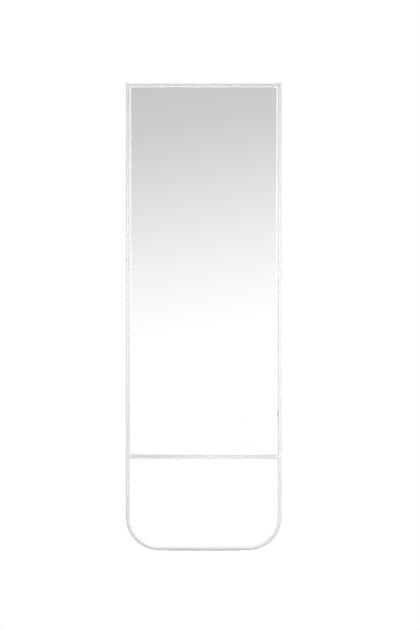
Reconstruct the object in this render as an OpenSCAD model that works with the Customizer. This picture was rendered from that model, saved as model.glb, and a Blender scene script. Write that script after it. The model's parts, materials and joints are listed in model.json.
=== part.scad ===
// Cheval floor mirror on a folding A-frame of two bent tube loops.
// +X to the right, +Y to the back, +Z up. The origin is on the floor, midway between the two loops.

/* [Stand] */
// Overall height, floor to the top of the hinge knuckles
stand_h = 1650; // [1350:10:2000]
// Overall width over the two posts
stand_w = 548; // [440:2:700]
// Outer diameter of the loop tube
tube_d = 12; // [10:0.5:16]
// Wall of the loop tube
tube_wall = 1.5; // [1:0.1:2.5]
// Centre line radius of the bottom corners
corner_r = 110; // [60:5:160]
// Lean of each loop from the vertical, in degrees
lean = 7; // [5:0.5:12]
// Gap between the two loops when folded
fold_gap = 1; // [0.5:0.1:4]
// Height from the bottom bar to the bottom rail, centre to centre along the loop
low_gap_h = 324; // [200:2:500]

/* [Rails] */
// Height of the flat top rail
top_rail_h = 7; // [5:0.5:12]
// Drop of the top rail below the knuckles
top_rail_drop = 2; // [1:0.5:3]
// Wall of both rails
rail_wall = 1.2; // [0.8:0.1:2]
// Diameter of the round bottom rail
low_rail_d = 10; // [8:0.5:12]

/* [Floor strips] */
// Length of the glide strip under each loop
strip_l = 250; // [120:10:300]
// Width of the glide strip
strip_w = 8; // [6:0.5:9]
// Thickness of the glide strip under the tube
strip_t = 2; // [1:0.5:4]

/* [Hinge] */
// Radius of the hinge knuckle
knuckle_r = 5.5; // [5:0.1:6]
// Thickness of the tongue
tongue_t = 4; // [3:0.1:5]
// Side clearance between tongue and fork
tongue_side_clear = 0.15; // [0.1:0.05:0.4]
// Clearance round the knuckle
knuckle_clear = 0.4; // [0.3:0.1:0.8]
// Diameter of the hinge pin
hinge_pin_d = 4; // [3:0.5:5]
// Radial running clearance of every turning pin
run_clear = 0.05; // [0.02:0.01:0.08]
// Length of the plug inside the tube
plug_l = 25; // [15:1:40]
// Height of the face that stops the loops opening further
stop_face_h = 4; // [2:0.5:4]

/* [Mirror panel] */
// Gap between the panel and the stand, all round
panel_gap = 2.4; // [2.2:0.1:5]
// Width of the lip along the long sides of the glass, seen from the front
side_lip_w = 3.6; // [3.2:0.1:12]
// Width of the lip along the top and bottom of the glass
end_lip_w = 6.2; // [4:0.1:20]
// Sheet thickness of the panel frame
sheet_t = 1.2; // [0.8:0.1:2]
// Outer corner radius of the panel frame
frame_corner_r = 8; // [6:1:20]
// Corner radius of the window in the lip
window_r = 9; // [4:1:20]
// Thickness of the mirror glass
glass_t = 4; // [3:0.5:6]
// Gap round the edge of the glass
glass_edge_gap = 0.8; // [0.4:0.1:1.5]
// Thickness of the glazing tape
tape_t = 0.5; // [0.3:0.1:1.5]
// Thickness of the safety film behind the glass
film_t = 0.2; // [0.1:0.05:0.5]
// Thickness of the foam pads
pad_t = 1; // [0.5:0.1:2]
// Thickness of the backing board
board_t = 3; // [2:0.5:4]
// Distance from the pivot axis to the back edge of the panel frame
panel_back = 6; // [5.8:0.1:10]
// How far the panel tilts each way, in degrees
tilt_range = 12; // [6:1:14]

/* [Pivots] */
// Diameter of the pivot stud
stud_d = 5; // [4:0.5:6]
// Length of the bearing along the stud
bearing_l = 16; // [12:1:30]
// Depth of the bearing saddle in front of the pivot axis
saddle_front = 4.9; // [4.4:0.1:7]
// Height of the bearing saddle
saddle_h = 60; // [56:1:80]
// Height of the bearing cap
cap_h = 28; // [26:1:30]
// Thickness of the bracket at the inner face of the post
bracket_t = 1.6; // [1.2:0.1:1.9]
// Width of the bracket
bracket_w = 13; // [12.5:0.5:16]
// Distance from the pivot axis to the tilt stop pin
stop_pin_drop = 19; // [18:0.5:20]
// Diameter of the tilt stop pin
stop_pin_d = 2.5; // [2:0.1:3]
// Play of the stop pin across its slot
stop_pin_play = 0.25; // [0.1:0.05:0.4]
// Thickness of the washer between bracket and panel
washer_t = 0.6; // [0.4:0.05:0.7]

/* [Fixings] */
// Diameter of the small screws
screw_d = 3; // [2.5:0.1:3.5]
// Number of board clips along each long side
side_clips = 4; // [2:1:6]
// Number of board clips along the top and along the bottom
end_clips = 2; // [1:1:3]
// Width of a board clip
clip_w = 14; // [10:1:20]
// Reach of a board clip over the board
clip_reach = 12; // [8:1:20]
// Thickness of a board clip
clip_t = 1; // [0.8:0.1:1.2]
// Length of the keeper pad on the right post
keeper_l = 25; // [15:1:60]
// Distance of the keeper pad below the pivot axis
keeper_drop = 508; // [100:2:540]

/* [Hidden] */
$fn = 64;

// Long distances are kept to a hundredth of a millimetre
function hundredth(v) = round(100 * v) / 100;

// Loops, measured from the hinge axis in each loop's own upright plane
tube_r = tube_d / 2;
bore_r = tube_r - tube_wall;
post_x = stand_w / 2 - tube_r;
tube_off = tube_r + fold_gap / 2;
shoulder_y = tube_off + tube_r - knuckle_r;
hinge_z = hundredth(stand_h - knuckle_r - shoulder_y * sin(lean));
tube_end_gap = 1.5;
tube_end = knuckle_r + tube_end_gap;
bar_drop = hundredth((hinge_z + tube_off * sin(lean) - strip_t - tube_r) / cos(lean));
bar_y = tube_off * cos(lean) + bar_drop * sin(lean);
strip_lip_h = 1.2;

// Hinge
knuckle_swing = knuckle_r + knuckle_clear;
pin_r = hinge_pin_d / 2;
pin_recess = 0.2;
stop_play = 0.05;

// Rails, below the hinge axis
rail_top = knuckle_r - top_rail_drop;
rail_bottom = rail_top - top_rail_h;
low_rail_r = low_rail_d / 2;
low_rail_z = low_gap_h - bar_drop;

// Panel outline, about the pivot axis at its middle
panel_top_z = rail_bottom - panel_gap;
panel_bottom_z = low_rail_z + low_rail_r + panel_gap;
pivot_z = (panel_top_z + panel_bottom_z) / 2;
panel_h = panel_top_z - panel_bottom_z;
panel_w = 2 * (post_x - tube_r - panel_gap);
half_w = panel_w / 2;
half_h = panel_h / 2;
inner_w = panel_w - 2 * sheet_t;
inner_h = panel_h - 2 * sheet_t;
inner_corner_r = frame_corner_r - sheet_t;
window_w = panel_w - 2 * side_lip_w;
window_h = panel_h - 2 * end_lip_w;
glass_w = inner_w - 2 * glass_edge_gap;
glass_h = inner_h - 2 * glass_edge_gap;
glass_corner_r = inner_corner_r - glass_edge_gap;
film_inset = 1;

// Panel layers from the pivot axis forwards, as places along Y
saddle_clear = 0.2;
film_back = -saddle_front - saddle_clear;
glass_back = film_back - film_t;
glass_front = glass_back - glass_t;
lip_back = glass_front - tape_t;
lip_front = lip_back - sheet_t;
board_front = film_back + pad_t;
board_back = board_front + board_t;

// Pivots, as distances from the middle of the panel
stud_r = stud_d / 2;
bearing_r = stud_r + run_clear;
wall_x = half_w - sheet_t;
bearing_x = wall_x - bearing_l;
post_face_x = post_x - tube_r;
bracket_x = post_face_x - bracket_t;
bracket_wrap = 1.5;
stud_tip_gap = 1;
cap_gap = 0.3;
cap_side_gap = 0.5;
cap_screw_inset = 4.5;
cap_screw_z = cap_h / 2 - cap_screw_inset;
cap_crown_wall = 3;
cap_crown_h = 2 * (bearing_r + cap_crown_wall);
cap_crown_drop = 0.2;
cap_crown_y = panel_back - cap_crown_drop;
cap_ear_y = 3.3;
pad_end_y = 3;
end_pad_h = (saddle_h - cap_h) / 2 - cap_side_gap;
end_pad_z = (saddle_h - end_pad_h) / 2;
board_notch_gap = 0.6;
saddle_screw_inset = 5;
saddle_screw_z = saddle_h / 2 - saddle_screw_inset;
saddle_screw_y = -1;
saddle_screw_l = 8;
stop_r = stop_pin_d / 2;
slot_r = stop_r + stop_pin_play;
slot_angle = tilt_range - asin((stop_pin_play - stop_play) / stop_pin_drop);
washer_inset = 1;
washer_r = bracket_w / 2 - washer_inset;
washer_rim = 2.5;
bracket_top = washer_r + washer_rim;
slot_rim = 3;
bracket_bottom = stop_pin_drop + slot_r + slot_rim;
stop_pin_seat = 8;
stop_pin_root = wall_x - stop_pin_seat;
stop_pin_tip_gap = 0.2;
stop_pin_tip = post_face_x - stop_pin_tip_gap;

// Small fixings
screw_r = screw_d / 2;
cap_screw_l = 7;
head_rim = 1;
head_r = screw_r + head_rim;
head_t = 1.6;
countersink_r = screw_r + sheet_t;
clip_head_rim = 0.5;
clip_head_r = screw_r + clip_head_rim;
clip_head_t = 1.4;
clip_edge_drop = 0.4;
clip_back_y = panel_back - clip_edge_drop;
clip_screw_y = (board_back + clip_t + clip_back_y) / 2;
keeper_clear = 0.4;
keeper_t = panel_gap - keeper_clear;
keeper_w = 6;
keeper_wrap = 1;
pad_w = 14;
pad_side_gap = 60;
pad_rows = 3;
tape_window_gap = 0.3;
cut = 1;

clip_z = [for (i = [0 : side_clips - 1]) (i + 0.5 - side_clips / 2) * panel_h / side_clips];
clip_x = [for (i = [0 : end_clips - 1]) (i + 0.5 - end_clips / 2) * panel_w / end_clips];

// ---- placing ----

// Children drawn upright with the hinge axis at the origin, leaned as the front loop
module in_front() {
    translate([0, 0, hinge_z])
        rotate([-lean, 0, 0])
            children();
}

module in_rear() {
    translate([0, 0, hinge_z])
        rotate([lean, 0, 0])
            children();
}

// Children drawn about the pivot axis at the middle of the panel
module in_panel() {
    in_front()
        translate([0, -tube_off, pivot_z])
            children();
}

// A flat outline in X and Z, thickened from y0 to y1
module slab(y0, y1) {
    translate([0, y1, 0])
        rotate([90, 0, 0])
            linear_extrude(y1 - y0)
                children();
}

// A flat outline in Y and Z, thickened from x0 to x1
module side_slab(x0, x1) {
    translate([x0, 0, 0])
        rotate([90, 0, 90])
            linear_extrude(x1 - x0)
                children();
}

module rod_x(x0, x1, r) {
    translate([x0, 0, 0])
        rotate([0, 90, 0])
            cylinder(h = x1 - x0, r = r);
}

module rod_y(y0, y1, r) {
    translate([0, y1, 0])
        rotate([90, 0, 0])
            cylinder(h = y1 - y0, r = r);
}

module block(low, high) {
    translate(low)
        cube(high - low);
}

module round_rect(w, h, r) {
    square([w - 2 * r, h], center = true);
    square([w, h - 2 * r], center = true);
    for (x = [-1, 1], z = [-1, 1])
        translate([x * (w / 2 - r), z * (h / 2 - r)])
            circle(r);
}

// side is -1 for the left piece and 1 for the right one, drawn on the right
module on_side(side) {
    if (side > 0)
        children();
    else
        mirror([1, 0, 0])
            children();
}

// ---- loops ----

module ring_section() {
    difference() {
        circle(tube_r);
        circle(bore_r);
    }
}

// The open loop: two posts, two bent corners and the bottom bar, in the plane y = 0
module loop_tube() {
    for (side = [-1, 1])
        on_side(side) {
            translate([post_x, 0, corner_r - bar_drop])
                linear_extrude(bar_drop - corner_r - tube_end)
                    ring_section();
            translate([post_x - corner_r, 0, corner_r - bar_drop])
                rotate([90, 0, 0])
                    rotate([0, 0, -90])
                        rotate_extrude(angle = 90)
                            translate([corner_r, 0])
                                ring_section();
        }
    translate([corner_r - post_x, 0, -bar_drop])
        rotate([0, 90, 0])
            linear_extrude(2 * (post_x - corner_r))
                ring_section();
}

module front_loop() {
    color("white")
        in_front()
            translate([0, -tube_off, 0])
                difference() {
                    loop_tube();
                    translate([0, 0, pivot_z])
                        rod_x(-stand_w, stand_w, stud_r);
                }
}

module rear_loop() {
    color("white")
        in_rear()
            translate([0, tube_off, 0])
                loop_tube();
}

// Blank of a glide strip, flat on the floor, dir -1 under the front loop and 1 under the rear
module strip_blank(dir) {
    translate([0, dir * bar_y, 0])
        block(
            [-strip_l / 2, -strip_w / 2, 0],
            [strip_l / 2, strip_w / 2, strip_t + strip_lip_h]
        );
}

module front_floor_strip() {
    color("gainsboro")
        difference() {
            strip_blank(-1);
            in_front()
                translate([0, -tube_off, -bar_drop])
                    rod_x(-strip_l, strip_l, tube_r);
        }
}

module rear_floor_strip() {
    color("gainsboro")
        difference() {
            strip_blank(1);
            in_rear()
                translate([0, tube_off, -bar_drop])
                    rod_x(-strip_l, strip_l, tube_r);
        }
}

// ---- hinge ----

// Outer shape of both hinge heads: a tube in front and square sided behind, tube axis at y = -tube_off
module head_envelope() {
    translate([post_x, -tube_off, -tube_end])
        cylinder(h = 3 * tube_end, r = tube_r);
    block([post_x - tube_r, -tube_off, -tube_end], [post_x + tube_r, tube_d, 2 * tube_end]);
}

// Side view of a hinge head: a round ended lug over the hinge axis, and its neck on the tube
module head_outline() {
    circle(knuckle_r);
    translate([-shoulder_y, 0])
        circle(knuckle_r);
    translate([-shoulder_y, -knuckle_r])
        square([shoulder_y, 2 * knuckle_r]);
    translate([-tube_off - tube_r, -tube_end])
        square([tube_d, tube_end]);
}

module head_and_plug() {
    intersection() {
        side_slab(post_x - tube_r, post_x + tube_r)
            head_outline();
        head_envelope();
    }
    translate([post_x, -tube_off, -tube_end - plug_l])
        cylinder(h = plug_l, r = bore_r);
}

module fork_plug(side) {
    slot_half = tongue_t / 2 + tongue_side_clear;
    color("silver")
        in_front()
            on_side(side)
                difference() {
                    head_and_plug();
                    block(
                        [post_x - slot_half, -knuckle_swing, -knuckle_swing],
                        [post_x + slot_half, tube_d, 2 * tube_end]
                    );
                    rod_x(post_x - tube_d, post_x + tube_d, pin_r);
                }
}

module left_fork_plug() {
    fork_plug(-1);
}

module right_fork_plug() {
    fork_plug(1);
}

// What is cut from one side of the tongue's head, so that it turns between the fork's ears
module tongue_side_cut(x0, x1) {
    side_slab(x0, x1) {
        circle(knuckle_swing);
        translate([0, -knuckle_swing])
            square([2 * tube_d, 2 * knuckle_swing + tube_end]);
    }
}

// Heel on the tongue that meets the end of the fork's slot when the loops are fully open
module stop_heel() {
    rotate([2 * lean, 0, 0])
        side_slab(post_x - tongue_t / 2, post_x + tongue_t / 2)
            square([knuckle_swing - stop_play, stop_face_h]);
}

module tongue_plug(side) {
    tongue_half = tongue_t / 2;
    color("silver")
        in_rear()
            on_side(side)
                mirror([0, 1, 0])
                    difference() {
                        union() {
                            difference() {
                                head_and_plug();
                                tongue_side_cut(post_x + tongue_half, post_x + tube_d);
                                tongue_side_cut(post_x - tube_d, post_x - tongue_half);
                            }
                            stop_heel();
                        }
                        rod_x(post_x - tube_d, post_x + tube_d, pin_r + run_clear);
                    }
}

module left_tongue_plug() {
    tongue_plug(-1);
}

module right_tongue_plug() {
    tongue_plug(1);
}

module hinge_pin(side) {
    color("silver")
        in_front()
            on_side(side)
                rod_x(post_x - tube_r + pin_recess, post_x + tube_r - pin_recess, pin_r);
}

module left_hinge_pin() {
    hinge_pin(-1);
}

module right_hinge_pin() {
    hinge_pin(1);
}

// ---- rails ----

module top_rail() {
    color("white")
        in_front()
            difference() {
                block(
                    [-post_x, -tube_off - tube_r, rail_bottom],
                    [post_x, -tube_off + tube_r, rail_top]
                );
                block(
                    [-stand_w, -tube_off - tube_r + rail_wall, rail_bottom + rail_wall],
                    [stand_w, -tube_off + tube_r - rail_wall, rail_top - rail_wall]
                );
                for (side = [-1, 1])
                    on_side(side)
                        head_envelope();
            }
}

module bottom_rail() {
    color("white")
        in_front()
            translate([0, -tube_off, low_rail_z])
                difference() {
                    rod_x(-post_x, post_x, low_rail_r);
                    rod_x(-stand_w, stand_w, low_rail_r - rail_wall);
                    for (side = [-1, 1])
                        translate([side * post_x, 0, -tube_d])
                            cylinder(h = 2 * tube_d, r = tube_r);
                }
}

// ---- pivots on the stand ----

module post_body() {
    translate([post_x, 0, -stand_w])
        cylinder(h = 2 * stand_w, r = tube_r);
}

// The stud is set through the post and ends flush with the tube's outer face
module pivot_stud(side) {
    color("silver")
        in_panel()
            on_side(side)
                intersection() {
                    rod_x(bearing_x + stud_tip_gap, stand_w, stud_r);
                    union() {
                        post_body();
                        block([0, -tube_d, -tube_d], [post_x, tube_d, tube_d]);
                    }
                }
}

module left_pivot_stud() {
    pivot_stud(-1);
}

module right_pivot_stud() {
    pivot_stud(1);
}

module arc_slot() {
    intersection() {
        difference() {
            circle(stop_pin_drop + slot_r);
            circle(stop_pin_drop - slot_r);
        }
        polygon([
            [0, 0],
            2 * stop_pin_drop * [-sin(slot_angle), -cos(slot_angle)],
            2 * stop_pin_drop * [sin(slot_angle), -cos(slot_angle)]
        ]);
    }
    for (a = [-slot_angle, slot_angle])
        translate(stop_pin_drop * [sin(a), -cos(a)])
            circle(slot_r);
}

// Welded to the inner side of the post; the panel's stop pin runs in its slot
module stop_bracket(side) {
    color("white")
        in_panel()
            on_side(side)
                difference() {
                    block(
                        [bracket_x, -bracket_w / 2, -bracket_bottom],
                        [post_face_x + bracket_wrap, bracket_w / 2, bracket_top]
                    );
                    post_body();
                    rod_x(0, stand_w, stud_r);
                    side_slab(bracket_x - cut, post_x)
                        arc_slot();
                }
}

module left_stop_bracket() {
    stop_bracket(-1);
}

module right_stop_bracket() {
    stop_bracket(1);
}

module keeper_pad() {
    color("lightgray")
        in_panel()
            difference() {
                block(
                    [post_face_x - keeper_t, -keeper_w / 2, -keeper_drop - keeper_l / 2],
                    [post_face_x + keeper_wrap, keeper_w / 2, -keeper_drop + keeper_l / 2]
                );
                translate([0, 0, -keeper_drop])
                    post_body();
            }
}

// ---- mirror panel ----

module panel_frame() {
    color("white")
        in_panel()
            difference() {
                slab(lip_front, panel_back)
                    round_rect(panel_w, panel_h, frame_corner_r);
                slab(lip_back, panel_back + cut)
                    round_rect(inner_w, inner_h, inner_corner_r);
                slab(lip_front - cut, lip_back + cut)
                    round_rect(window_w, window_h, window_r);
                for (side = [-1, 1])
                    on_side(side)
                        frame_pivot_cuts();
                clip_places()
                    translate([0, clip_screw_y, 0])
                        rod_x(-cut, sheet_t + cut, screw_r);
            }
}

// Open slot that the stud enters from behind, and the holes round it
module frame_pivot_cuts() {
    rod_x(bearing_x, stand_w, bearing_r);
    block([bearing_x, 0, -bearing_r], [stand_w, panel_back + cut, bearing_r]);
    translate([0, 0, -stop_pin_drop])
        rod_x(bearing_x, stand_w, stop_r);
    saddle_screw_places()
        saddle_screw_body();
}

module glazing_tape() {
    color("dimgray")
        in_panel()
            slab(lip_back, glass_front)
                difference() {
                    round_rect(glass_w, glass_h, glass_corner_r);
                    round_rect(
                        window_w + 2 * tape_window_gap,
                        window_h + 2 * tape_window_gap,
                        window_r
                    );
                }
}

module mirror_glass() {
    color("lightsteelblue")
        in_panel()
            slab(glass_front, glass_back)
                round_rect(glass_w, glass_h, glass_corner_r);
}

module safety_film() {
    color("darkgray")
        in_panel()
            slab(glass_back, film_back)
                round_rect(
                    glass_w - 2 * film_inset,
                    glass_h - 2 * film_inset,
                    glass_corner_r - film_inset
                );
}

module foam_pads() {
    pad_x = inner_w / 2 - pad_side_gap;
    pad_h = inner_h / pad_rows - pad_side_gap;
    color("slategray")
        in_panel()
            slab(film_back, board_front)
                for (x = [-pad_x, 0, pad_x], row = [0 : pad_rows - 1])
                    translate([x, (row + 0.5 - pad_rows / 2) * inner_h / pad_rows])
                        square([pad_w, pad_h], center = true);
}

module backing_board() {
    notch_w = bearing_l + board_notch_gap;
    notch_h = saddle_h + 2 * board_notch_gap;
    color("burlywood")
        in_panel()
            slab(board_front, board_back)
                difference() {
                    round_rect(glass_w, glass_h, glass_corner_r);
                    for (side = [-1, 1])
                        translate([side * (inner_w / 2 - notch_w / 2), 0])
                            square([notch_w, notch_h], center = true);
                }
}

// Children drawn against a wall's inner face at x = 0, with the wall at positive x
module clip_places() {
    for (z = clip_z, a = [0, 180])
        rotate([0, a, 0])
            translate([inner_w / 2, 0, z])
                children();
    for (x = clip_x, a = [-90, 90])
        rotate([0, a, 0])
            translate([inner_h / 2, 0, x])
                children();
}

module board_clips() {
    color("silver")
        in_panel()
            clip_places()
                difference() {
                    union() {
                        block([-clip_t, board_back, -clip_w / 2], [0, clip_back_y, clip_w / 2]);
                        block(
                            [-clip_reach, board_back, -clip_w / 2],
                            [0, board_back + clip_t, clip_w / 2]
                        );
                    }
                    translate([0, clip_screw_y, 0])
                        rod_x(-clip_t - cut, cut, screw_r);
                }
}

module clip_screws() {
    color("silver")
        in_panel()
            clip_places()
                translate([0, clip_screw_y, 0]) {
                    rod_x(-clip_t, sheet_t, screw_r);
                    rod_x(-clip_t - clip_head_t, -clip_t, clip_head_r);
                }
}

// ---- pivot bearings on the panel ----

module saddle_screw_places() {
    for (z = [-saddle_screw_z, saddle_screw_z])
        translate([0, saddle_screw_y, z])
            children();
}

module saddle_screw_body() {
    rod_x(wall_x - saddle_screw_l, half_w, screw_r);
    translate([wall_x, 0, 0])
        rotate([0, 90, 0])
            cylinder(h = sheet_t, r1 = screw_r, r2 = countersink_r);
}

module cap_screw_places() {
    for (z = [-cap_screw_z, cap_screw_z])
        translate([(bearing_x + wall_x) / 2, 0, z])
            children();
}

module pivot_saddle(side) {
    color("whitesmoke")
        in_panel()
            on_side(side)
                difference() {
                    union() {
                        block(
                            [bearing_x, -saddle_front, -saddle_h / 2],
                            [wall_x, 0, saddle_h / 2]
                        );
                        for (z = [-end_pad_z, end_pad_z])
                            translate([0, 0, z])
                                block(
                                    [bearing_x, -saddle_front, -end_pad_h / 2],
                                    [wall_x, pad_end_y, end_pad_h / 2]
                                );
                    }
                    rod_x(bearing_x - cut, half_w, bearing_r);
                    translate([0, 0, -stop_pin_drop])
                        rod_x(stop_pin_root, half_w, stop_r);
                    saddle_screw_places()
                        saddle_screw_body();
                    cap_screw_places()
                        rod_y(cap_ear_y - cap_screw_l, cap_ear_y, screw_r);
                }
}

module left_pivot_saddle() {
    pivot_saddle(-1);
}

module right_pivot_saddle() {
    pivot_saddle(1);
}

module bearing_cap(side) {
    color("whitesmoke")
        in_panel()
            on_side(side)
                difference() {
                    union() {
                        block([bearing_x, cap_gap, -cap_h / 2], [wall_x, cap_ear_y, cap_h / 2]);
                        block(
                            [bearing_x, cap_gap, -cap_crown_h / 2],
                            [wall_x, cap_crown_y, cap_crown_h / 2]
                        );
                    }
                    rod_x(bearing_x - cut, half_w, bearing_r);
                    cap_screw_places()
                        rod_y(cap_gap - cut, cap_ear_y + cut, screw_r);
                }
}

module left_bearing_cap() {
    bearing_cap(-1);
}

module right_bearing_cap() {
    bearing_cap(1);
}

module cap_screws() {
    color("silver")
        in_panel()
            for (side = [-1, 1])
                on_side(side)
                    cap_screw_places() {
                        rod_y(cap_ear_y - cap_screw_l, cap_ear_y, screw_r);
                        rod_y(cap_ear_y, cap_ear_y + head_t, head_r);
                    }
}

module saddle_screws() {
    color("silver")
        in_panel()
            for (side = [-1, 1])
                on_side(side)
                    saddle_screw_places()
                        saddle_screw_body();
}

module stop_pin(side) {
    color("silver")
        in_panel()
            on_side(side)
                translate([0, 0, -stop_pin_drop])
                    rod_x(stop_pin_root, stop_pin_tip, stop_r);
}

module left_stop_pin() {
    stop_pin(-1);
}

module right_stop_pin() {
    stop_pin(1);
}

module pivot_washer(side) {
    washer_x = (half_w + bracket_x - washer_t) / 2;
    color("whitesmoke")
        in_panel()
            on_side(side)
                difference() {
                    rod_x(washer_x, washer_x + washer_t, washer_r);
                    rod_x(washer_x - cut, washer_x + washer_t + cut, bearing_r);
                }
}

module left_pivot_washer() {
    pivot_washer(-1);
}

module right_pivot_washer() {
    pivot_washer(1);
}

// ---- drawing ----

front_loop();
top_rail();
bottom_rail();
left_fork_plug();
right_fork_plug();
left_hinge_pin();
right_hinge_pin();
left_pivot_stud();
right_pivot_stud();
left_stop_bracket();
right_stop_bracket();
keeper_pad();
front_floor_strip();
rear_loop();
left_tongue_plug();
right_tongue_plug();
rear_floor_strip();
panel_frame();
glazing_tape();
mirror_glass();
safety_film();
foam_pads();
backing_board();
board_clips();
clip_screws();
left_pivot_saddle();
right_pivot_saddle();
left_bearing_cap();
right_bearing_cap();
cap_screws();
saddle_screws();
left_stop_pin();
right_stop_pin();
left_pivot_washer();
right_pivot_washer();
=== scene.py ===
import json
import math

import bmesh
import bpy
import numpy as np
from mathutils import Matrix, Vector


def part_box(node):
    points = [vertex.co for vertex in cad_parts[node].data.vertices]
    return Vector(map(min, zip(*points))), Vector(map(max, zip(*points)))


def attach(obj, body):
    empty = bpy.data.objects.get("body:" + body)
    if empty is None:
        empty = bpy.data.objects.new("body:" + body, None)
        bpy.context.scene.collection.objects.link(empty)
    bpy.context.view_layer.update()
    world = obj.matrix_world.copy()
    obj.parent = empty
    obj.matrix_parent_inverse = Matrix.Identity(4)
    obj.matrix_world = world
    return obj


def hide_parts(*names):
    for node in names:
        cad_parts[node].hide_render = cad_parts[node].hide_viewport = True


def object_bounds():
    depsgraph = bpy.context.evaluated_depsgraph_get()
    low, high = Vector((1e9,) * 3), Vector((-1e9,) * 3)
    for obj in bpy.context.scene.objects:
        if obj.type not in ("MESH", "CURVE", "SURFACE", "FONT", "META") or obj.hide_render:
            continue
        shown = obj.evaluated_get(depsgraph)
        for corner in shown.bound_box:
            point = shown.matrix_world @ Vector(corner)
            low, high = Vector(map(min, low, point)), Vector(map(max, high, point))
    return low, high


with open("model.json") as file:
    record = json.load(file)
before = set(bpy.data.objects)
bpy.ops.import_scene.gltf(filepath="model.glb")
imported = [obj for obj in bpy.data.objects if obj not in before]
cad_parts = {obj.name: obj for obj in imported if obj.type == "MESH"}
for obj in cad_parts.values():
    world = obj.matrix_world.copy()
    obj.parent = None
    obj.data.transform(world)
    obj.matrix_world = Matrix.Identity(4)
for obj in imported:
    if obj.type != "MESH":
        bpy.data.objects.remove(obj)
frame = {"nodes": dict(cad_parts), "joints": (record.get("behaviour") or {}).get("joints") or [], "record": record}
cadLow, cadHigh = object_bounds()
nodes = frame["nodes"]
joints = {joint["name"]: joint for joint in frame["joints"]}
print("frame loaded:", len(nodes), "nodes")


# One number that changes over a surface. Arithmetic on it adds Math nodes to its finish.
class Pattern:
    def __init__(self, finish, socket):
        self.finish = finish
        self.socket = socket

    def math(self, operation, first, second):
        return self.finish.add("ShaderNodeMath", {"operation": operation}, {0: first, 1: second})

    def __add__(self, other):
        return self.math("ADD", self, other)

    def __radd__(self, other):
        return self.math("ADD", other, self)

    def __sub__(self, other):
        return self.math("SUBTRACT", self, other)

    def __rsub__(self, other):
        return self.math("SUBTRACT", other, self)

    def __mul__(self, other):
        return self.math("MULTIPLY", self, other)

    def __rmul__(self, other):
        return self.math("MULTIPLY", other, self)

    def __truediv__(self, other):
        return self.math("DIVIDE", self, other)

    def atLeast(self, other):
        return self.math("MAXIMUM", self, other)

    def atMost(self, other):
        return self.math("MINIMUM", self, other)


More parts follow.
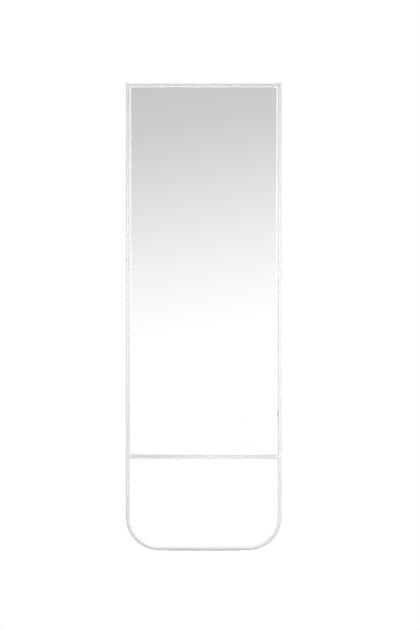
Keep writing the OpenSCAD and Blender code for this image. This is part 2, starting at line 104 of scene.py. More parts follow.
# One material: its nodes come from add(), and its shader takes constants and patterns from wear()
class Finish:
    def __init__(self, name, shaderKind="ShaderNodeBsdfPrincipled"):
        self.material = bpy.data.materials.new(name)
        self.material.use_nodes = True
        self.tree = self.material.node_tree
        self.tree.nodes.clear()
        self.shader = self.tree.nodes.new(shaderKind)
        output = self.tree.nodes.new("ShaderNodeOutputMaterial")
        self.tree.links.new(self.shader.outputs[0], output.inputs["Surface"])
        self.place = self.add("ShaderNodeTexCoord", {}, {}, "Object")

    # settings go first, because some of them change which sockets a node has
    def add(self, kind, settings, sockets, output=0):
        node = self.tree.nodes.new(kind)
        for key, value in settings.items():
            if key == "stops":
                self.setStops(node, value)
            else:
                setattr(node, key, value)
        for key, value in sockets.items():
            self.feed(node.inputs[key], value)
        return Pattern(self, node.outputs[output])

    def setStops(self, node, stops):
        ramp = node.color_ramp
        while len(ramp.elements) < len(stops):
            ramp.elements.new(1.0)
        for element, (position, colour) in zip(ramp.elements, stops):
            element.position = position
            element.color = (*colour, 1.0)

    def feed(self, socket, value):
        if isinstance(value, Pattern):
            self.tree.links.new(value.socket, socket)
        elif isinstance(value, (tuple, list)) and len(value) == 3 and socket.type == "RGBA":
            socket.default_value = (*value, 1.0)
        else:
            socket.default_value = value

    def wear(self, **looks):
        for key, value in looks.items():
            name = {"baseColour": "Base Color", "roughness": "Roughness", "metallic": "Metallic",
                    "normal": "Normal", "ior": "IOR", "specular": "Specular IOR Level",
                    "sheen": "Sheen Weight"}[key]
            self.feed(self.shader.inputs[name], value)
        return self.material

    # Cloudy pattern from 0 to 1; size is the width of its patches in metres, stretch their shape
    def cloud(self, size, detail=3.0, stretch=(1.0, 1.0, 1.0), shift=0.0):
        spot = self.add("ShaderNodeMapping", {}, {
            "Vector": self.place, "Location": (shift, shift * 0.7, shift * 1.3),
            "Scale": tuple(1.0 / (size * s) for s in stretch)})
        return self.add("ShaderNodeTexNoise", {}, {
            "Vector": spot, "Scale": 1.0, "Detail": detail, "Roughness": 0.55}, "Fac")

    # Distance to scattered cell centres; size is how far apart they lie in metres
    def cells(self, size, shift=0.0):
        spot = self.add("ShaderNodeMapping", {}, {
            "Vector": self.place, "Location": (shift, shift, shift),
            "Scale": (1.0 / size, 1.0 / size, 1.0 / size)})
        return self.add("ShaderNodeTexVoronoi", {}, {"Vector": spot, "Scale": 1.0}, "Distance")

    # 0 below low and 1 above high, with a soft step between
    def step(self, value, low, high):
        return self.add("ShaderNodeMapRange", {"interpolation_type": "SMOOTHSTEP"}, {
            "Value": value, "From Min": low, "From Max": high, "To Min": 0.0, "To Max": 1.0})

    def blend(self, first, second, share):
        return self.add("ShaderNodeMix", {"data_type": "RGBA"}, {0: share, 6: first, 7: second}, 2)

    def axis(self, letter):
        return self.add("ShaderNodeSeparateXYZ", {}, {0: self.place}, letter)

    # The surface normal as if every edge were rounded to this radius
    def roundNormal(self, radius):
        return self.add("ShaderNodeBevel", {"samples": 6}, {"Radius": radius})

    # 1 along outer and inner edges, 0 on open faces: how far the rounded normal leans from the true one
    def edges(self, roundNormal, gain):
        true = self.add("ShaderNodeNewGeometry", {}, {}, "True Normal")
        cosine = self.add("ShaderNodeVectorMath", {"operation": "DOT_PRODUCT"}, {
            0: roundNormal, 1: true}, "Value")
        return self.step(1.0 - cosine, 0.0, 1.0 / gain)

    # How much the surface faces up, from 0 on walls and undersides to 1 on tops
    def facingUp(self):
        true = self.add("ShaderNodeNewGeometry", {}, {}, "Normal")
        return self.add("ShaderNodeSeparateXYZ", {}, {0: true}, "Z").atLeast(0.0)

    def bump(self, height, depth, normal=None):
        sockets = {"Height": height, "Distance": depth, "Strength": 1.0}
        if normal is not None:
            sockets["Normal"] = normal
        return self.add("ShaderNodeBump", {}, sockets)


def grey(level):
    return (level, level, level)


lacquerLook = {
    # The tubes' colour below is the white lacquer darkened as painted shade, and the sheet's colour is the same
    # lacquer lightened as painted light
    "tubeShadedColour": (0.775, 0.775, 0.77),
    "sheetLitColour": (0.875, 0.875, 0.87),
    "worn": (0.60, 0.60, 0.59),
    "dust": (0.70, 0.69, 0.67),
    "roughness": 0.30,
    "peelSize": 0.0016,
    "peelDepth": 0.00003,
    "edgeRadius": 0.0006,
    "rubPatch": 0.012,
    "toneSize": 0.22,
    "scuffBelow": (0.16, 0.02),  # heights where scuffs start and are fullest
    "scuffSize": 0.018,
    "dustSize": 0.03,
    "glossPatch": 0.05,
}


# White powder coat: orange peel, faint cloudiness, edges rubbed thin, scuffs near the floor
def whiteLacquer(name, base):
    look = lacquerLook
    finish = Finish(name)
    rounded = finish.roundNormal(look["edgeRadius"])
    edge = finish.edges(rounded, 3.0)
    rubbed = edge * finish.step(finish.cloud(look["rubPatch"], 4.0), 0.50, 0.68)
    tone = finish.cloud(look["toneSize"], 2.0, shift=3.1)
    start, fullest = look["scuffBelow"]
    low = 1.0 - finish.step(finish.axis("Z"), fullest, start)
    scuff = low * finish.step(finish.cloud(look["scuffSize"], 5.0, (3.0, 1.0, 0.35), 7.7), 0.58, 0.66)
    dust = finish.facingUp() * finish.step(finish.cloud(look["dustSize"], 4.0, shift=1.7), 0.35, 0.75)
    lighter = tuple(min(c * 1.02, 0.95) for c in base)
    colour = finish.blend(base, lighter, tone)
    colour = finish.blend(colour, look["dust"], dust * 0.10)
    colour = finish.blend(colour, look["worn"], (rubbed * 0.35 + scuff * 0.30).atMost(0.6))
    peel = finish.cloud(look["peelSize"], 1.5)
    grain = finish.cells(look["peelSize"] * 0.5)
    rough = look["roughness"] + 0.10 * finish.cloud(look["glossPatch"], 3.0, shift=5.0) + 0.16 * scuff + 0.10 * dust
    normal = finish.bump(peel + grain * 0.25, look["peelDepth"], rounded)
    return finish.wear(baseColour=colour, roughness=rough, normal=normal, ior=1.5)


mirrorLook = {
    "silver": (0.945, 0.95, 0.948),
    "haze": (0.90, 0.905, 0.905),
    "roughness": 0.012,
    "smudgeSize": 0.09,
    "printSize": 0.011,
    "speckSpacing": 0.021,
    "waveSize": 0.35,
    "waveDepth": 0.00002,
}


# Silvered glass: near perfect, with the faint film of hand marks and settled dust that a wiped mirror keeps
def silveredGlass():
    look = mirrorLook
    finish = Finish("silveredGlass")
    wiped = finish.step(finish.cloud(look["smudgeSize"], 5.0, (1.0, 1.0, 2.5)), 0.48, 0.75)
    prints = finish.step(finish.cloud(look["printSize"], 4.0, shift=9.0), 0.62, 0.72) * wiped
    specks = 1.0 - finish.step(finish.cells(look["speckSpacing"], shift=2.0), 0.018, 0.03)
    film = (wiped * 0.25 + prints * 0.5 + specks * 0.4).atMost(1.0)
    colour = finish.blend(look["silver"], look["haze"], film * 0.35)
    rough = look["roughness"] + 0.018 * film
    normal = finish.bump(finish.cloud(look["waveSize"], 1.0), look["waveDepth"])
    return finish.wear(baseColour=colour, metallic=1.0, roughness=rough, normal=normal)


steelLook = {"colour": (0.60, 0.60, 0.595), "dull": (0.42, 0.415, 0.40), "bright": 0.78, "lineSize": 0.0004,
             "lineDepth": 0.000015, "dullPatch": 0.006, "edgeRadius": 0.0003}


# Turned bright steel: fine rings round the pins, dulled in patches
def plainSteel():
    look = steelLook
    finish = Finish("plainSteel")
    rings = finish.cloud(look["lineSize"], 2.0, (1.0, 40.0, 40.0))
    dull = finish.step(finish.cloud(look["dullPatch"], 4.0), 0.45, 0.70)
    rounded = finish.roundNormal(look["edgeRadius"])
    edge = finish.edges(rounded, 3.0)
    colour = finish.blend(look["colour"], look["dull"], dull * 0.6)
    colour = finish.blend(colour, grey(look["bright"]), edge * 0.5)
    rough = 0.22 + 0.16 * dull + 0.10 * rings
    return finish.wear(baseColour=colour, metallic=1.0, roughness=rough,
                       normal=finish.bump(rings, look["lineDepth"], rounded))


zincLook = {"colour": (0.66, 0.68, 0.71), "warm": (0.70, 0.68, 0.60), "bright": 0.82, "spangleSize": 0.0018,
            "strawPatch": 0.014, "rippleSize": 0.004, "depth": 0.00003, "edgeRadius": 0.0003}


# Bright zinc plate: bluish with straw patches, a fine spangle, and stamping marks along edges
def zincPlate():
    look = zincLook
    finish = Finish("zincPlate")
    rounded = finish.roundNormal(look["edgeRadius"])
    edge = finish.edges(rounded, 3.0)
    straw = finish.step(finish.cloud(look["strawPatch"], 3.0), 0.42, 0.66)
    spangle = finish.cells(look["spangleSize"])
    colour = finish.blend(look["colour"], look["warm"], straw * 0.55)
    colour = finish.blend(colour, grey(look["bright"]), edge * 0.45)
    rough = 0.24 + 0.18 * spangle + 0.10 * straw
    return finish.wear(baseColour=colour, metallic=1.0, roughness=rough,
                       normal=finish.bump(spangle + finish.cloud(look["rippleSize"], 4.0), look["depth"], rounded))


acetalLook = {"colour": (0.80, 0.80, 0.775), "grime": (0.45, 0.44, 0.41), "markSize": 0.0006,
              "markDepth": 0.00002, "grimePatch": 0.010, "edgeRadius": 0.0005}


# Milled white acetal: soft sheen, milling marks, grey bloom in the corners
def milledAcetal():
    look = acetalLook
    finish = Finish("milledAcetal")
    rounded = finish.roundNormal(look["edgeRadius"])
    edge = finish.edges(rounded, 3.0)
    marks = finish.cloud(look["markSize"], 2.0, (30.0, 1.0, 1.0))
    grime = finish.step(finish.cloud(look["grimePatch"], 4.0), 0.50, 0.72)
    colour = finish.blend(look["colour"], look["grime"], grime * 0.18 + edge * 0.12)
    rough = 0.38 + 0.14 * marks + 0.10 * grime
    return finish.wear(baseColour=colour, roughness=rough, ior=1.48,
                       normal=finish.bump(marks, look["markDepth"], rounded))


boardLook = {"colour": (0.335, 0.225, 0.14), "pale": (0.45, 0.325, 0.215), "dark": (0.235, 0.15, 0.09),
             "meshPitch": 0.0022, "meshDepth": 0.00016, "fibreSize": 0.0011, "mottleSize": 0.12,
             "edgeRadius": 0.0008}


# Brown hardboard, screen side out: pressed wire mesh pattern, flecks of fibre, rubbed corners
def brownHardboard():
    look = boardLook
    finish = Finish("brownHardboard")
    turns = 2.0 * math.pi / look["meshPitch"]
    across = finish.add("ShaderNodeMath", {"operation": "SINE"}, {0: finish.axis("X") * turns})
    along = finish.add("ShaderNodeMath", {"operation": "SINE"}, {0: finish.axis("Z") * turns})
    mesh = (across * along) * 0.5 + 0.5
    fibre = finish.cloud(look["fibreSize"], 5.0, (3.0, 1.0, 0.6))
    crossed = finish.cloud(look["fibreSize"], 5.0, (0.6, 1.0, 3.0), 3.0)
    fleck = finish.step(fibre.atLeast(crossed), 0.50, 0.64)
    mottle = finish.cloud(look["mottleSize"], 3.0, shift=4.0)
    edge = finish.edges(finish.roundNormal(look["edgeRadius"]), 3.0)
    colour = finish.blend(look["colour"], look["dark"], finish.step(mottle, 0.35, 0.75) * 0.22)
    colour = finish.blend(colour, look["pale"], fleck * 0.75)
    colour = finish.blend(colour, look["dark"], (1.0 - mesh) * 0.30)
    colour = finish.blend(colour, look["pale"], edge * 0.5)
    return finish.wear(baseColour=colour, roughness=0.66 + 0.22 * fibre,
                       normal=finish.bump(mesh + fibre * 0.8, look["meshDepth"]))


tapeLook = {"dark": 0.035, "light": 0.075, "poreSize": 0.0009, "poreDepth": 0.0001, "sheen": 0.15}


# Dull dark foam tape, open celled
def glazingFoam():
    look = tapeLook
    finish = Finish("glazingFoam")
    pores = finish.cells(look["poreSize"])
    colour = finish.blend(grey(look["dark"]), grey(look["light"]), pores)
    return finish.wear(baseColour=colour, roughness=0.80 + 0.15 * pores, sheen=look["sheen"],
                       normal=finish.bump(pores, look["poreDepth"]))


filmLook = {"colour": (0.24, 0.29, 0.33), "light": (0.30, 0.35, 0.39), "crinkleSize": 0.008, "crinkleDepth": 0.0001}


# Blue-grey safety film with the crinkles of its roller
def safetyFilm():
    look = filmLook
    finish = Finish("safetyFilm")
    crinkle = finish.cloud(look["crinkleSize"], 4.0, (1.0, 1.0, 6.0))
    colour = finish.blend(look["colour"], look["light"], crinkle)
    return finish.wear(baseColour=colour, roughness=0.32 + 0.2 * crinkle,
                       normal=finish.bump(crinkle, look["crinkleDepth"]))


padLook = {"dark": 0.60, "light": 0.72, "poreSize": 0.0012, "poreDepth": 0.00012}


# Pale closed-cell foam
def paleFoam():
    look = padLook
    finish = Finish("paleFoam")
    pores = finish.cells(look["poreSize"])
    colour = finish.blend(grey(look["dark"]), grey(look["light"]), pores)
    return finish.wear(baseColour=colour, roughness=0.75 + 0.15 * pores,
                       normal=finish.bump(pores, look["poreDepth"]))


stripLook = {"light": 0.62, "dark": 0.54, "scratched": 0.40, "scratchSize": 0.0012, "scratchDepth": 0.00004,
             "bloomSize": 0.02, "edgeRadius": 0.0004}


# Grey glide plastic, scratched along the floor
def glidePlastic():
    look = stripLook
    finish = Finish("glidePlastic")
    scratches = finish.step(finish.cloud(look["scratchSize"], 3.0, (1.0, 30.0, 6.0)), 0.56, 0.66)
    bloom = finish.cloud(look["bloomSize"], 3.0)
    rounded = finish.roundNormal(look["edgeRadius"])
    colour = finish.blend(grey(look["light"]), grey(look["dark"]), bloom)
    colour = finish.blend(colour, grey(look["scratched"]), scratches * 0.5 + finish.edges(rounded, 3.0) * 0.2)
    return finish.wear(baseColour=colour, roughness=0.48 + 0.2 * scratches,
                       normal=finish.bump(scratches, look["scratchDepth"], rounded))


rubberLook = {"dark": 0.22, "light": 0.30, "rubbed": 0.42, "skinSize": 0.0007, "skinDepth": 0.00004,
              "toneSize": 0.006, "edgeRadius": 0.0005}


# Grey rubber with a moulded matt skin
def greyRubber():
    look = rubberLook
    finish = Finish("greyRubber")
    skin = finish.cloud(look["skinSize"], 3.0)
    rounded = finish.roundNormal(look["edgeRadius"])
    colour = finish.blend(grey(look["dark"]), grey(look["light"]), finish.cloud(look["toneSize"], 3.0, shift=2.0))
    colour = finish.blend(colour, grey(look["rubbed"]), finish.edges(rounded, 3.0) * 0.4)
    return finish.wear(baseColour=colour, roughness=0.70 + 0.15 * skin,
                       normal=finish.bump(skin, look["skinDepth"], rounded))


finishes = {
    # the tubes' lacquer is darkened as painted shade
    "white_lacquer": whiteLacquer("tubeShadedLacquer", lacquerLook["tubeShadedColour"]),
    "plain_steel": plainSteel(),
    "zinc_steel": zincPlate(),
    "silvered_glass": silveredGlass(),
    "glazing_foam": glazingFoam(),
    "safety_film": safetyFilm(),
    "pale_foam": paleFoam(),
    "hardboard": brownHardboard(),
    "acetal": milledAcetal(),
    "glide_plastic": glidePlastic(),
    "grey_rubber": greyRubber(),
}
# The panel's sheet takes a second copy of the same white lacquer, lightened as painted light, while the tubes take a
# copy darkened as painted shade
sheetLitLacquer = whiteLacquer("sheetLitLacquer", lacquerLook["sheetLitColour"])
slotOf = {row["node"]: row["material_slot"] for row in frame["record"]["subparts"]}
for name, node in nodes.items():
    for place in node.material_slots:
        place.material = sheetLitLacquer if name == "panel_frame" else finishes[slotOf[name]]
print("finishes made:", len(finishes))


standFacts = {"lean": 7.0, "tubeRadius": 0.006}  # degrees and metres
pivot = np.array(joints["mirror_tilt"]["pos_m"])
hinge = np.array(joints["rear_leg_fold"]["pos_m"])
leanCos = math.cos(math.radians(standFacts["lean"]))
leanSin = math.sin(math.radians(standFacts["lean"]))
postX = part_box("front_loop")[1].x - standFacts["tubeRadius"]


# Points measured square to the leaning front loop, about an origin on it, put in the world
def leaned(points, origin):
    x, y, z = np.moveaxis(np.asarray(points, dtype=float), -1, 0)
    return origin + np.stack([x, y * leanCos + z * leanSin, z * leanCos - y * leanSin], axis=-1)


# Lowest and highest corner of a CAD node, measured square to the front loop
def leanedBox(name, origin):
    mesh = nodes[name].data
    spots = np.empty(len(mesh.vertices) * 3)
    mesh.vertices.foreach_get("co", spots)
    x, y, z = (spots.reshape(-1, 3) - origin).T
    square = np.stack([x, y * leanCos - z * leanSin, y * leanSin + z * leanCos], axis=-1)
    return square.min(axis=0), square.max(axis=0)


# Quads between the points of a grid, each way open or closed on itself
def gridFaces(rows, columns, closedRows, closedColumns):
    index = np.arange(rows * columns).reshape(rows, columns)
    if closedRows:
        index = np.vstack([index, index[:1]])
    if closedColumns:
        index = np.hstack([index, index[:, :1]])
    return np.stack([index[:-1, :-1], index[:-1, 1:], index[1:, 1:], index[1:, :-1]], axis=-1).reshape(-1, 4)


# One closed piece from several grids. Doubles are merged first, then the faces are turned outwards
def closedPiece(name, grids, body, slot, replaced=(), closedRows=False, sharpFrom=35.0):
    spots, faces, start = [], [], 0
    for grid in grids:
        rows, columns = grid.shape[:2]
        spots.append(grid.reshape(-1, 3))
        faces.append(gridFaces(rows, columns, closedRows, True) + start)
        start += rows * columns
    mesh = bpy.data.meshes.new(name)
    mesh.from_pydata(np.concatenate(spots).tolist(), [], np.concatenate(faces).tolist())
    shape = bmesh.new()
    shape.from_mesh(mesh)
    bmesh.ops.remove_doubles(shape, verts=shape.verts, dist=1e-6)
    bmesh.ops.dissolve_degenerate(shape, edges=shape.edges, dist=1e-7)
    bmesh.ops.recalc_face_normals(shape, faces=shape.faces)
    shape.to_mesh(mesh)
    shape.free()
    mesh.polygons.foreach_set("use_smooth", np.ones(len(mesh.polygons), dtype=bool))
    mesh.set_sharp_from_angle(angle=math.radians(sharpFrom))
    mesh.materials.append(finishes[slot])
    piece = bpy.data.objects.new(name, mesh)
    bpy.context.scene.collection.objects.link(piece)
    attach(piece, body)
    if replaced:
        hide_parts(*replaced)
    return piece


# A closed outline carried along a path: each path point is moved by the outline's two coordinates along
# the path's side and rise directions
def carried(path, side, rise, outline):
    across, up = np.moveaxis(outline, -1, 0)
    return path[:, None, :] + across[..., None] * side[:, None, :] + up[..., None] * rise[:, None, :]


def unit(vectors):
    return vectors / np.linalg.norm(vectors, axis=-1, keepdims=True)


weldLook = {"railRadius": 0.0009, "headRadius": 0.0009, "bracketRadius": 0.0008, "ripple": 0.12,
            "rippleLength": 0.0016, "sides": 10, "seamSink": 0.0002, "seamStandOff": 0.0005, "seamInset": 0.002}


# A bead along a path: a circle about each path point, whose radius swells and sinks with the cosine of the
# distance run. On an open path the radius falls to nothing at both ends as a quarter circle does
def bead(path, centre, radius, closed):
    look = weldLook
    if closed:
        ahead = unit(np.roll(path, -1, axis=0) - np.roll(path, 1, axis=0))
        gaps = np.linalg.norm(path - np.roll(path, 1, axis=0), axis=1)
        run = np.cumsum(gaps)
        ripples = max(1, round(run[-1] / look["rippleLength"]))
        size = np.ones(len(path))
    else:
        ahead = unit(np.gradient(path, axis=0))
        run = np.concatenate([[0.0], np.cumsum(np.linalg.norm(np.diff(path, axis=0), axis=1))])
        ripples = run[-1] / look["rippleLength"]
        toEnd = np.minimum(run, run[-1] - run) / radius
        size = np.sqrt(np.clip(1.0 - (1.0 - np.clip(toEnd, 0.0, 1.0)) ** 2, 0.0, 1.0))
    size = radius * size * (1.0 + look["ripple"] * np.cos(2.0 * math.pi * ripples * run / run[-1]))
    out = path - centre
    side = unit(out - (out * ahead).sum(axis=1, keepdims=True) * ahead)
    rise = np.cross(ahead, side)
    turn = np.linspace(0.0, 2.0 * math.pi, look["sides"], endpoint=False)
    ring = np.stack([np.cos(turn), np.sin(turn)], axis=-1)
    return carried(path, side, rise, size[:, None, None] * ring[None])


# Where a round rail meets a post: the angle runs round the rail, and the distance of the post's surface from
# its own axis plane is the root of its radius squared less the sideways distance squared
def railRing(side):
    low, high = leanedBox("bottom_rail", pivot)
    radius = (high[2] - low[2]) / 2
    middle = (low + high) / 2
    turn = np.linspace(0.0, 2.0 * math.pi, 96, endpoint=False)
    y = radius * np.cos(turn)
    x = postX - np.sqrt(standFacts["tubeRadius"] ** 2 - y ** 2)
    path = np.stack([side * x, middle[1] + y, middle[2] + radius * np.sin(turn)], axis=-1)
    return bead(leaned(path, pivot), leaned([side * x.mean(), middle[1], middle[2]], pivot),
                weldLook["railRadius"], True)


# A rounded rectangle walked at an even angle: the reach in each direction is where the ray leaves it, softened
# by a high power instead of a sharp corner
def softBox(turn, halfWide, halfHigh, power=18.0):
    reach = (np.abs(np.cos(turn) / halfWide) ** power + np.abs(np.sin(turn) / halfHigh) ** power) ** (-1 / power)
    return reach * np.cos(turn), reach * np.sin(turn)


# Where the flat top rail meets a hinge head: round in front as the tube is, and flat behind
def headRing(side):
    low, high = leanedBox("top_rail", hinge)
    middle = (low + high) / 2
    radius = standFacts["tubeRadius"]
    turn = np.linspace(0.0, 2.0 * math.pi, 160, endpoint=False)
    y, z = softBox(turn, (high[1] - low[1]) / 2, (high[2] - low[2]) / 2)
    x = postX - np.where(y < 0.0, np.sqrt(np.clip(radius ** 2 - y ** 2, 0.0, None)), radius)
    path = np.stack([side * x, middle[1] + y, middle[2] + z], axis=-1)
    return bead(leaned(path, hinge), leaned([side * (postX - radius / 2), middle[1], middle[2]], hinge),
                weldLook["headRadius"], True)


# Two upright beads in the corners between a stop bracket and the round of its post
def bracketSeams(side):
    low, high = leanedBox("right_stop_bracket", pivot)
    x = high[0] + weldLook["seamSink"]
    y = math.sqrt(standFacts["tubeRadius"] ** 2 - (postX - x) ** 2) + weldLook["seamStandOff"]
    z = np.linspace(low[2] + weldLook["seamInset"], high[2] - weldLook["seamInset"], 140)
    seams = []
    for way in (-1.0, 1.0):
        path = np.stack([np.full_like(z, side * x), np.full_like(z, way * y), z], axis=-1)
        centre = leaned([side * x, 0.0, 0.0], pivot)
        seams.append(bead(leaned(path, pivot), centre, weldLook["bracketRadius"], False))
    return seams


for side, word in ((-1.0, "left"), (1.0, "right")):
    closedPiece(word + "RailWeld", [railRing(side)], "front_stand", "white_lacquer", closedRows=True)
    closedPiece(word + "HeadWeld", [headRing(side)], "front_stand", "white_lacquer", closedRows=True)
    closedPiece(word + "BracketWelds", bracketSeams(side), "front_stand", "white_lacquer")
print("weld beads made")


# Rings from the tip of the shank to the floor of the socket: radius and height in millimetres, and how
# six-sided the ring is
capScrewRings = ((0.0, -7.0, 0), (0.9, -7.0, 0), (1.5, -6.4, 0), (1.5, 0.0, 0), (2.4, 0.0, 0), (2.5, 0.12, 0),
                 (2.5, 0.95, 0), (2.36, 1.33, 0), (2.05, 1.55, 0), (1.7, 1.6, 0), (1.15, 1.6, 1),
                 (1.08, 1.5, 1), (1.08, 0.7, 1), (0.0, 0.5, 1))
clipScrewRings = ((0.0, -2.2, 0), (1.3, -2.2, 0), (1.5, -2.0, 0), (1.5, 0.0, 0), (1.9, 0.0, 0), (2.0, 0.12, 0),
                  (2.0, 0.8, 0), (1.86, 1.15, 0), (1.6, 1.36, 0), (1.3, 1.4, 0), (0.92, 1.4, 1), (0.86, 1.32, 1),
                  (0.86, 0.6, 1), (0.0, 0.45, 1))
saddleScrewRings = ((0.0, -8.0, 0), (0.9, -8.0, 0), (1.5, -7.4, 0), (1.5, -1.2, 0), (2.62, -0.1, 0),
                    (2.66, -0.04, 0), (2.6, 0.0, 0), (1.0, 0.0, 1), (0.94, -0.08, 1), (0.94, -1.1, 1),
                    (0.0, -1.3, 1))


# One screw about each place, facing along its own axis: a ring's radius is even, or it grows towards the six
# corners as one over the cosine of the angle from the middle of a side
def screwGrids(rings, places, axes, around=36):
    radius, height, sixSided = np.array(rings).T
    turn = np.linspace(0.0, 2.0 * math.pi, around, endpoint=False)
    corner = 1.0 / np.cos(np.mod(turn, math.pi / 3) - math.pi / 6)
    reach = 0.001 * radius[:, None] * (1.0 + sixSided[:, None] * (corner - 1.0))
    grids = []
    for place, axis in zip(np.asarray(places, dtype=float), np.asarray(axes, dtype=float)):
        side = unit(np.cross(axis, [0.3, 0.5, 0.9]))
        rise = np.cross(axis, side)
        path = place + 0.001 * height[:, None] * axis
        outline = reach[..., None] * np.stack([np.cos(turn), np.sin(turn)], axis=-1)
        grids.append(carried(path, np.tile(side, (len(path), 1)), np.tile(rise, (len(path), 1)), outline))
    return grids


panelFacts = {"sideClips": 4, "endClips": 2, "sheet": 0.0012, "clipWidth": 0.014, "clipReach": 0.012,
              "clipThickness": 0.001, "clipEdgeDrop": 0.0004, "capScrewRise": 0.0095, "capFoot": 0.0033,
              "saddleScrewRise": 0.025, "saddleScrewBack": -0.001}
panelLow, panelHigh = leanedBox("panel_frame", pivot)
boardHigh = leanedBox("backing_board", pivot)[1]
capLow, capHigh = leanedBox("right_bearing_cap", pivot)
innerWide = panelHigh[0] - panelFacts["sheet"]
innerHigh = (panelHigh[2] - panelLow[2]) / 2 - panelFacts["sheet"]


# Turns, about the panel's own depth axis, and places along the wall of every board clip
def clipStations():
    facts = panelFacts
    along = [(i + 0.5 - facts["sideClips"] / 2) * 2 * panelHigh[2] / facts["sideClips"]
             for i in range(facts["sideClips"])]
    across = [(i + 0.5 - facts["endClips"] / 2) * 2 * panelHigh[0] / facts["endClips"]
              for i in range(facts["endClips"])]
    return ([(turn, innerWide, z) for z in along for turn in (0.0, math.pi)]
            + [(turn, innerHigh, x) for x in across for turn in (math.pi / 2, -math.pi / 2)])


# Points drawn against the inner face of a wall, at x = 0, carried to one station of the frame
def atStation(points, station):
    turn, wall, along = station
    x, y, z = np.moveaxis(np.asarray(points, dtype=float), -1, 0)
    x, z = x + wall, z + along
    return np.stack([x * math.cos(turn) + z * math.sin(turn), y, z * math.cos(turn) - x * math.sin(turn)], axis=-1)


def direction(x, y, z):
    return leaned([x, y, z], np.zeros(3))


clipBack = panelHigh[1] - panelFacts["clipEdgeDrop"]
clipScrewY = (boardHigh[1] + panelFacts["clipThickness"] + clipBack) / 2
stations = clipStations()
clipScrewPlaces = [leaned(atStation([-panelFacts["clipThickness"], clipScrewY, 0.0], s), pivot) for s in stations]
clipScrewAxes = [direction(-math.cos(s[0]), 0.0, math.sin(s[0])) for s in stations]
closedPiece("clipScrewSet", screwGrids(clipScrewRings, clipScrewPlaces, clipScrewAxes), "mirror_panel",
            "zinc_steel", ("clip_screws",))
capScrewPlaces = [leaned([side * (capLow[0] + capHigh[0]) / 2, panelFacts["capFoot"],
                          way * panelFacts["capScrewRise"]], pivot) for side in (-1, 1) for way in (-1, 1)]
closedPiece("capScrewSet", screwGrids(capScrewRings, capScrewPlaces, [direction(0.0, 1.0, 0.0)] * 4),
            "mirror_panel", "zinc_steel", ("cap_screws",))
saddleScrewPlaces = [leaned([side * panelHigh[0], panelFacts["saddleScrewBack"],
                             way * panelFacts["saddleScrewRise"]], pivot) for side in (-1, 1) for way in (-1, 1)]
saddleScrewAxes = [direction(side, 0.0, 0.0) for side in (-1, -1, 1, 1)]
closedPiece("saddleScrewSet", screwGrids(saddleScrewRings, saddleScrewPlaces, saddleScrewAxes), "mirror_panel",
            "zinc_steel", ("saddle_screws",))
print("screws made")


clipLook = {"bend": 0.0014, "toeLift": 0.0010, "toeRun": 0.0022, "ribHeight": 0.0005, "ribWidth": 0.0021,
            "cornerCut": 0.0035, "ribFade": 0.003}


# Spring clip pressed from strip: a foot on the wall, a round bend and a toe over the board. The middle line is
# straight, then a quarter circle, then straight with the tip curling up as the square of the distance run.
# The rib is a bell curve across the width that fades in and out along the toe
def clipGrid():
    facts, look = panelFacts, clipLook
    half = facts["clipThickness"] / 2
    foot = np.linspace(clipBack, boardHigh[1] + half + look["bend"], 6)
    turn = np.linspace(0.0, math.pi / 2, 8)[1:]
    toeEnd = -facts["clipReach"]
    bendX = -half - look["bend"]
    toe = np.linspace(bendX, toeEnd, 16)[1:]
    x = np.concatenate([np.full(6, -half), bendX + look["bend"] * np.cos(turn), toe])
    lift = look["toeLift"] * np.clip((toeEnd + look["toeRun"] - toe) / look["toeRun"], 0.0, 1.0) ** 2
    y = np.concatenate([foot, boardHigh[1] + half + look["bend"] * (1.0 - np.sin(turn)), boardHigh[1] + half + lift])
    path = np.stack([x, y, np.zeros_like(x)], axis=-1)
    ahead = unit(np.gradient(path, axis=0))
    rise = np.stack([-ahead[:, 1], ahead[:, 0], np.zeros_like(x)], axis=-1)
    side = np.tile([0.0, 0.0, 1.0], (len(x), 1))
    run = np.concatenate([[0.0], np.cumsum(np.linalg.norm(np.diff(path, axis=0), axis=1))])
    fromTip = run[-1] - run
    cut = np.clip(1.0 - fromTip / look["cornerCut"], 0.0, 1.0)
    wide = facts["clipWidth"] / 2 - look["cornerCut"] * (1.0 - np.sqrt(1.0 - cut ** 2))
    across = np.concatenate([np.linspace(-1.0, 1.0, 15), np.linspace(1.0, -1.0, 15)])
    face = np.concatenate([np.full(15, -half), np.full(15, half)])
    fade = look["ribFade"]
    ribShare = np.clip(fromTip / fade - 0.6, 0.0, 1.0) * np.clip((run[-1] - fromTip) / fade - 1.6, 0.0, 1.0)
    rib = -look["ribHeight"] * ribShare[:, None] * np.exp(-(across[None] * wide[:, None] / look["ribWidth"]) ** 2)
    outline = np.stack([across[None] * wide[:, None], face[None] + rib], axis=-1)
    grid = carried(path, side, rise, outline)
    return np.concatenate([path[:1, None] + 0.0 * grid[:1], grid, path[-1:, None] + 0.0 * grid[-1:]])


clip = clipGrid()
closedPiece("boardClipSet", [leaned(atStation(clip, s), pivot) for s in stations], "mirror_panel", "zinc_steel",
            ("board_clips",))
print("board clips made")


stageLook = {
    "floorSize": 120.0,
    "floorColour": (0.74, 0.74, 0.736),
    "backdrop": 1.0,  # what the camera sees behind the object
    "belowFloor": 0.696,  # what it sees under the near edge of the floor
    "horizon": (-0.03, -0.01),
    "ambient": 0.42,  # the same room as a light
}


def flatPiece(name, corners):
    mesh = bpy.data.meshes.new(name)
    mesh.from_pydata(corners, [], [(0, 1, 2, 3)])
    piece = bpy.data.objects.new(name, mesh)
    bpy.context.scene.collection.objects.link(piece)
    return piece


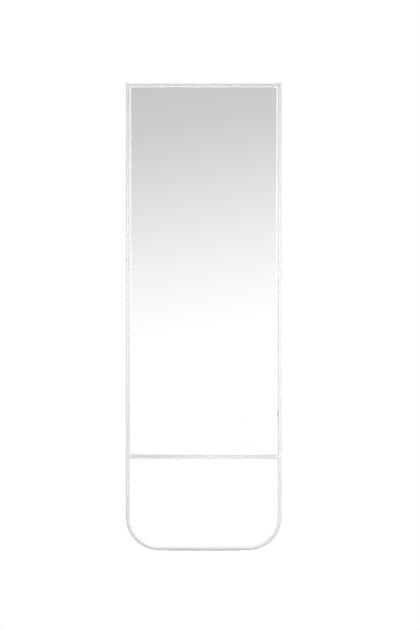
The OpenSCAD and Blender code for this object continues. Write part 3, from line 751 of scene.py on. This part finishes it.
def paleFloor():
    look = stageLook
    half = look["floorSize"] / 2
    floor = flatPiece("floor", [(-half, -half, 0.0), (half, -half, 0.0), (half, half, 0.0), (-half, half, 0.0)])
    finish = Finish("paleFloor")
    lighter = tuple(c * 1.01 for c in look["floorColour"])
    floor.data.materials.append(finish.wear(
        baseColour=finish.blend(look["floorColour"], lighter, finish.cloud(0.9, 2.0)),
        roughness=0.7, specular=0.1))


# Brightness of the card by height, in metres: white low down, fading to grey above
cardLook = {
    "distance": 3.0,
    "width": 12.0,
    "low": 0.0,
    "high": 5.0,
    "slant": 0.19,
    "slantWithin": 0.5,
    "levels": ((0.0, 0.63), (0.30, 0.76), (0.95, 0.985), (1.10, 0.993), (1.50, 0.993), (1.59, 0.960),
               (1.77, 0.868), (2.11, 0.680), (2.28, 0.597), (2.60, 0.54), (5.0, 0.50)),
    "gain": 1.06,
}


# A wide card in front of the glass, seen only in reflections; its foot is as bright as the floor
def reflectionCard():
    look = cardLook
    half = look["width"] / 2
    y = -look["distance"]
    low, high = look["low"], look["high"]
    card = flatPiece("reflectionCard", [(-half, y, low), (half, y, low), (half, y, high), (-half, y, high)])
    finish = Finish("cardLight", "ShaderNodeEmission")
    across = finish.axis("X").atMost(look["slantWithin"]).atLeast(-look["slantWithin"])
    height = (finish.axis("Z") - across * look["slant"]) / high
    stops = [(place / high, grey(level)) for place, level in look["levels"]]
    fade = finish.add("ShaderNodeValToRGB", {"stops": stops}, {"Fac": height}, "Color")
    finish.feed(finish.shader.inputs["Color"], fade)
    finish.feed(finish.shader.inputs["Strength"], look["gain"])
    card.data.materials.append(finish.material)
    card.visible_camera = False
    card.visible_diffuse = False
    card.visible_shadow = False
    card.visible_transmission = False


# Evenly bright room: white where the camera sees it, as pale as the floor below the horizon, dimmer as a light
def room():
    look = stageLook
    world = bpy.data.worlds.new("room")
    bpy.context.scene.world = world
    world.use_nodes = True
    tree = world.node_tree
    tree.nodes.clear()
    output = tree.nodes.new("ShaderNodeOutputWorld")
    lit = tree.nodes.new("ShaderNodeBackground")
    lit.inputs["Strength"].default_value = look["ambient"]
    seen = tree.nodes.new("ShaderNodeBackground")
    way = tree.nodes.new("ShaderNodeTexCoord")
    parts = tree.nodes.new("ShaderNodeSeparateXYZ")
    tree.links.new(way.outputs["Generated"], parts.inputs[0])
    horizon = tree.nodes.new("ShaderNodeMapRange")
    horizon.inputs["From Min"].default_value = look["horizon"][0]
    horizon.inputs["From Max"].default_value = look["horizon"][1]
    horizon.inputs["To Min"].default_value = look["belowFloor"]
    horizon.inputs["To Max"].default_value = look["backdrop"]
    tree.links.new(parts.outputs["Z"], horizon.inputs["Value"])
    tree.links.new(horizon.outputs[0], seen.inputs["Color"])
    path = tree.nodes.new("ShaderNodeLightPath")
    mix = tree.nodes.new("ShaderNodeMixShader")
    tree.links.new(path.outputs["Is Camera Ray"], mix.inputs[0])
    tree.links.new(lit.outputs[0], mix.inputs[1])
    tree.links.new(seen.outputs[0], mix.inputs[2])
    tree.links.new(mix.outputs[0], output.inputs["Surface"])


# Softboxes with a grid: place and target in metres, width and height, power in watts, spread in degrees
softboxes = {
    "boxFront": {"place": (0.5, -3.2, 1.0), "target": (0.0, 0.0, 0.92), "size": (0.6, 0.6), "power": 2.2,
                 "spread": 42.0},
    "boxRight": {"place": (3.0, -0.9, 1.0), "target": (0.0, 0.0, 0.92), "size": (0.6, 0.6), "power": 0.9,
                 "spread": 46.0},
    "boxLow": {"place": (0.3, -3.2, 0.5), "target": (0.05, 0.0, 0.25), "size": (0.3, 0.3), "power": 0.14,
               "spread": 12.0},
    "boxLeft": {"place": (-1.8, -2.5, 1.05), "target": (-0.2, 0.0, 0.98), "size": (0.5, 0.5), "power": 0.4,
                "spread": 38.0},
}
# Far soft lights that reach the whole floor: where they come from, their strength and width in degrees
farLights = {
    "farTop": {"from": (0.1, -0.3, 1.0), "strength": 2.0, "width": 60.0},
    "farLeft": {"from": (-0.8, -1.0, 0.9), "strength": 0.1, "width": 40.0},
}


def addLamp(name, light, place, target):
    lamp = bpy.data.objects.new(name, light)
    bpy.context.scene.collection.objects.link(lamp)
    lamp.location = place
    lamp.rotation_mode = "QUATERNION"
    lamp.rotation_quaternion = Vector(np.array(target) - np.array(place)).to_track_quat("-Z", "Y")
    lamp.visible_camera = False
    lamp.visible_glossy = False


def addSoftbox(name, facts):
    light = bpy.data.lights.new(name, "AREA")
    light.shape = "RECTANGLE"
    light.size, light.size_y = facts["size"]
    light.energy = facts["power"]
    light.spread = math.radians(facts["spread"])
    addLamp(name, light, facts["place"], facts["target"])


def addFarLight(name, facts):
    light = bpy.data.lights.new(name, "SUN")
    light.energy = facts["strength"]
    light.angle = math.radians(facts["width"])
    addLamp(name, light, tuple(5.0 * c for c in facts["from"]), (0.0, 0.0, 0.0))


# Straight on, level and without perspective, as through a very long lens
cameraLook = {"frameInHeights": 1.3466, "middleInHeights": 0.5036, "sideInHeights": 0.0135, "distance": 6.0}


def addCamera():
    look = cameraLook
    tall = cadHigh.z - cadLow.z
    camera = bpy.data.cameras.new("camera")
    camera.type = "ORTHO"
    camera.ortho_scale = look["frameInHeights"] * tall
    stand = bpy.data.objects.new("camera", camera)
    stand.location = (look["sideInHeights"] * tall, -look["distance"], look["middleInHeights"] * tall)
    stand.rotation_euler = (math.radians(90.0), 0.0, 0.0)
    bpy.context.scene.collection.objects.link(stand)
    bpy.context.scene.camera = stand


paleFloor()
reflectionCard()
room()
for name, facts in softboxes.items():
    addSoftbox(name, facts)
for name, facts in farLights.items():
    addFarLight(name, facts)
addCamera()
bpy.context.scene.view_settings.view_transform = "Standard"
print("stage set")
